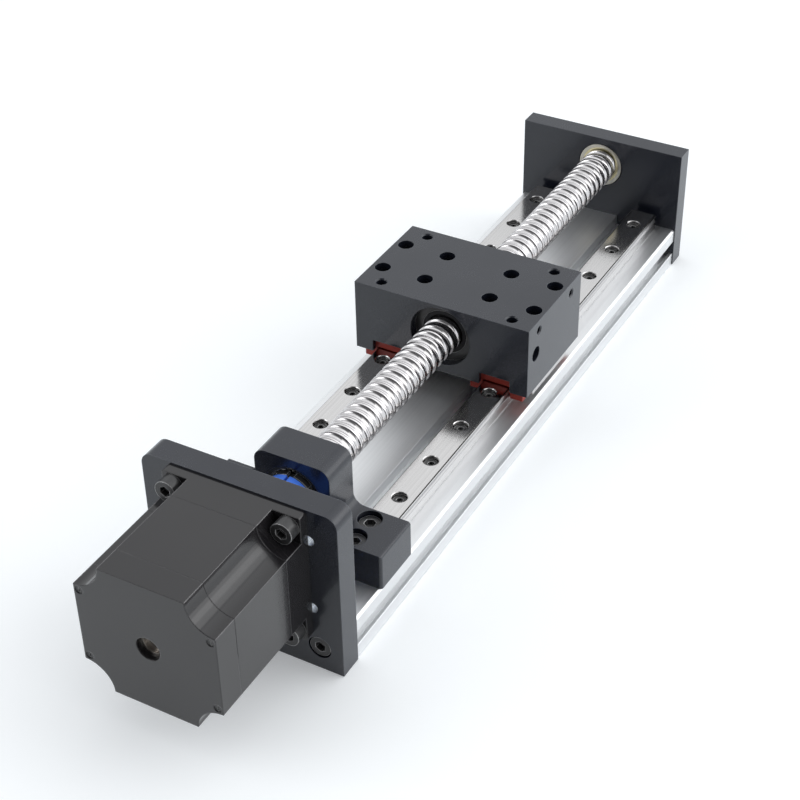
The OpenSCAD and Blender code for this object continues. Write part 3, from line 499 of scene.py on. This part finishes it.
# Painted shade: the dark lines at the groove's edges and down the land stand in for the thread's shade and
# dark reflections; the grain and the duller journals are the bar's own.
marks_and_shade = ((land_shade * 0.9 + brim_shade * 0.9 + (drawn - 0.47) * 3.0) * threaded + plain * 0.30).held()
skin = rolled.blend(marks_and_shade, (0.72, 0.705, 0.71), (0.22, 0.20, 0.205))
screw_bar.data.materials.append(
    rolled.shade(skin, 0.12 + drawn * 0.08 + smear * 0.06, 1.0, rolled.bump(drawn, 0.00001)))
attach(screw_bar, "screw")
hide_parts("ball_screw")

# ---------------------------------------------------------------------------------------------
# Coupling. Two turned aluminium hubs, anodised blue and clamped on the two shafts, with a black
# rubber spider between their jaws. The lead's grommet and the nut's wipers are rubber too.
blue = Finish("blue_anodised")
turning = blue.noise(1.0, 3.0, blue.stretched(1600.0, 30.0, 30.0))
rounded, edge_mask = blue.edges(0.0003, 4.0)
skin = blue.blend(turning * 0.4 + edge_mask * 0.5, (0.035, 0.19, 1.0), (0.26, 0.48, 1.0))
dress(blue.shade(skin, 0.30 + turning * 0.12, 0.15, blue.bump(turning, 0.000008, rounded),
                 Coat_Weight=0.5, Coat_Roughness=0.2),
      "coupling_hub_motor", "coupling_hub_screw")
rubber = Finish("black_rubber")
pores = rubber.noise(1800.0, 3.0)
skin = rubber.blend(pores, (0.010, 0.010, 0.011), (0.028, 0.028, 0.030))
dress(rubber.shade(skin, 0.62 + pores * 0.15, 0.0, rubber.bump(pores, 0.00002)),
      "coupling_spider", "lead_grommet", "nut_wipers")

# ---------------------------------------------------------------------------------------------
# Motor. Die-cast end caps are screwed together over a laminated stack, and painted satin
# black-brown. The stack keeps the faint edges of its sheets under the paint.
sheet = 0.0005


def satin_paint(name, radius, stacked):
    """Dark paint, paler within about radius of the lengthwise edges: wear and a painted highlight. On the
    stack it has a ridge at every sheet, as high as ((sin(X * full turn / sheet) + 1) / 2)^3."""
    made = Finish(name)
    peel = made.noise(700.0, 3.0)
    tone = made.noise(22.0, 2.0)
    rounded, edge_mask = made.edges(radius, 4.0)
    # Painted highlight: the edge mask paints the long edges paler for the light they catch, besides worn
    # paint.
    edge_highlight_and_tone = edge_mask * made.lengthwise(rounded) * 0.8 + tone * 0.04
    height, depth = peel, 0.000007
    if stacked:
        seams = ((made.axis("X") * (2 * math.pi / sheet)).wave() * 0.5 + 0.5) ** 3.0
        edge_highlight_and_tone = edge_highlight_and_tone + seams * 0.01
        height, depth = peel * 0.5 + seams * 0.5, 0.000010
    skin = made.blend(edge_highlight_and_tone, (0.0085, 0.0078, 0.0090), (0.30, 0.29, 0.30))
    return made.shade(skin, 0.09 + peel * 0.05, 0.0, made.bump(height, depth, rounded),
                      Coat_Weight=0.12, Coat_Roughness=0.06)


dress(satin_paint("motor_paint", 0.0007, False), "motor_front_cap", "motor_rear_cap")
dress(satin_paint("motor_stack", 0.0004, True), "motor_stator")

# ---------------------------------------------------------------------------------------------
# Slider end caps. Moulded red plastic over the ball returns, screwed to both ends of each
# slider's steel block.
red = Finish("red_plastic")
grainy = red.noise(1300.0, 2.0)
rounded, edge_mask = red.edges(0.0004, 3.0)
skin = red.blend(grainy * 0.4 + edge_mask * 0.3, (0.26, 0.016, 0.007), (0.50, 0.045, 0.020))
dress(red.shade(skin, 0.42 + grainy * 0.12, 0.0, red.bump(grainy, 0.00002, rounded)),
      "slider_caps_left", "slider_caps_right")
